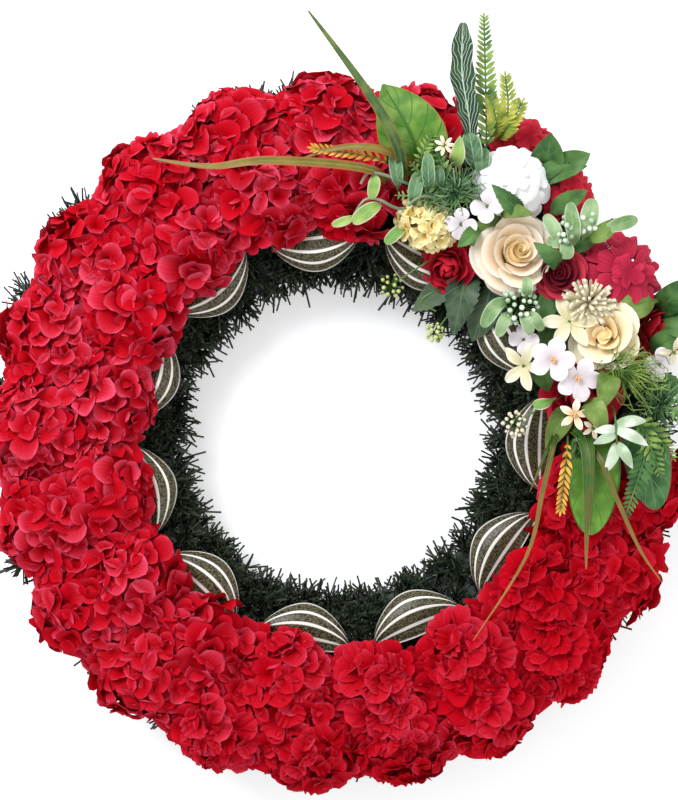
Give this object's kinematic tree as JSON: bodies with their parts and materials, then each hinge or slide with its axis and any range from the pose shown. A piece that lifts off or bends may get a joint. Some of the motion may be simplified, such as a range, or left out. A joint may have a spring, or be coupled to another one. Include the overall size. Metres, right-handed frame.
{
  "type": "funeral wreath",
  "caption": "Round artificial wreath of fir with rows of silk hydrangea heads, a puffed striped ribbon round the hole and a spray of mixed blooms, leaves and grasses.",
  "frame": {"origin": "middle of the bounding box's underside, where the wreath lies on its back", "axes": "+Z out of the flowers, +Y towards the top of the wreath as it hangs, +X to the right seen from the front"},
  "size_m": [0.7086, 0.7614, 0.1891],
  "materials": {
    "fir": "matte cut film",
    "red_petals": "matte pressed silk",
    "ribbon": "woven with bright stripes",
    "white_petals": "matte pressed silk",
    "cream_petals": "matte pressed silk",
    "yellow_petals": "matte pressed silk",
    "crimson_petals": "matte pressed silk",
    "dark_red_petals": "matte pressed silk",
    "pale_sprig": "satin",
    "leaf": "printed, satin",
    "dark_leaf": "printed, satin",
    "lime_leaf": "satin",
    "grass": "satin"
  },
  "bodies": {
    "root": {"berry_sprig_high": "pale_sprig", "berry_sprig_low": "pale_sprig", "broad_leaf_bottom": "leaf", "broad_leaf_side": "dark_leaf", "broad_leaf_top": "leaf", "cream_lily": "cream_petals", "cream_rose": "cream_petals", "cream_sea_holly": "cream_petals", "crimson_peony": "crimson_petals", "dark_red_rose": "dark_red_petals", "edge_leaves": "leaf", "fern_top": "leaf", "fir_ring": "fir", "grass_blade_left": "grass", "grass_blade_up": "grass", "grass_blades_down": "grass", "hydrangea_inner_01": "red_petals", "hydrangea_inner_02": "red_petals", "hydrangea_inner_03": "red_petals", "hydrangea_inner_04": "red_petals", "hydrangea_inner_05": "red_petals", "hydrangea_inner_06": "red_petals", "hydrangea_inner_07": "red_petals", "hydrangea_inner_08": "red_petals", "hydrangea_inner_09": "red_petals", "hydrangea_inner_10": "red_petals", "hydrangea_inner_11": "red_petals", "hydrangea_inner_12": "red_petals", "hydrangea_inner_13": "red_petals", "hydrangea_outer_01": "red_petals", "hydrangea_outer_02": "red_petals", "hydrangea_outer_03": "red_petals", "hydrangea_outer_04": "red_petals", "hydrangea_outer_05": "red_petals", "hydrangea_outer_06": "red_petals", "hydrangea_outer_07": "red_petals", "hydrangea_outer_08": "red_petals", "hydrangea_outer_09": "red_petals", "hydrangea_outer_10": "red_petals", "hydrangea_outer_11": "red_petals", "hydrangea_outer_12": "red_petals", "hydrangea_outer_13": "red_petals", "hydrangea_outer_14": "red_petals", "hydrangea_outer_15": "red_petals", "hydrangea_outer_16": "red_petals", "hydrangea_outer_17": "red_petals", "red_peony_edge": "red_petals", "red_peony_left": "red_petals", "red_peony_low": "red_petals", "red_peony_right": "red_petals", "red_peony_top": "red_petals", "ribbon": "ribbon", "rose_leaves_left": "dark_leaf", "rose_leaves_right": "leaf", "veined_leaf_top": "dark_leaf", "white_blossoms": "white_petals", "white_peony": "white_petals", "yellow_fern": "lime_leaf", "yellow_rosebud": "yellow_petals", "yellow_stock": "yellow_petals"}
  },
  "joints": []
}
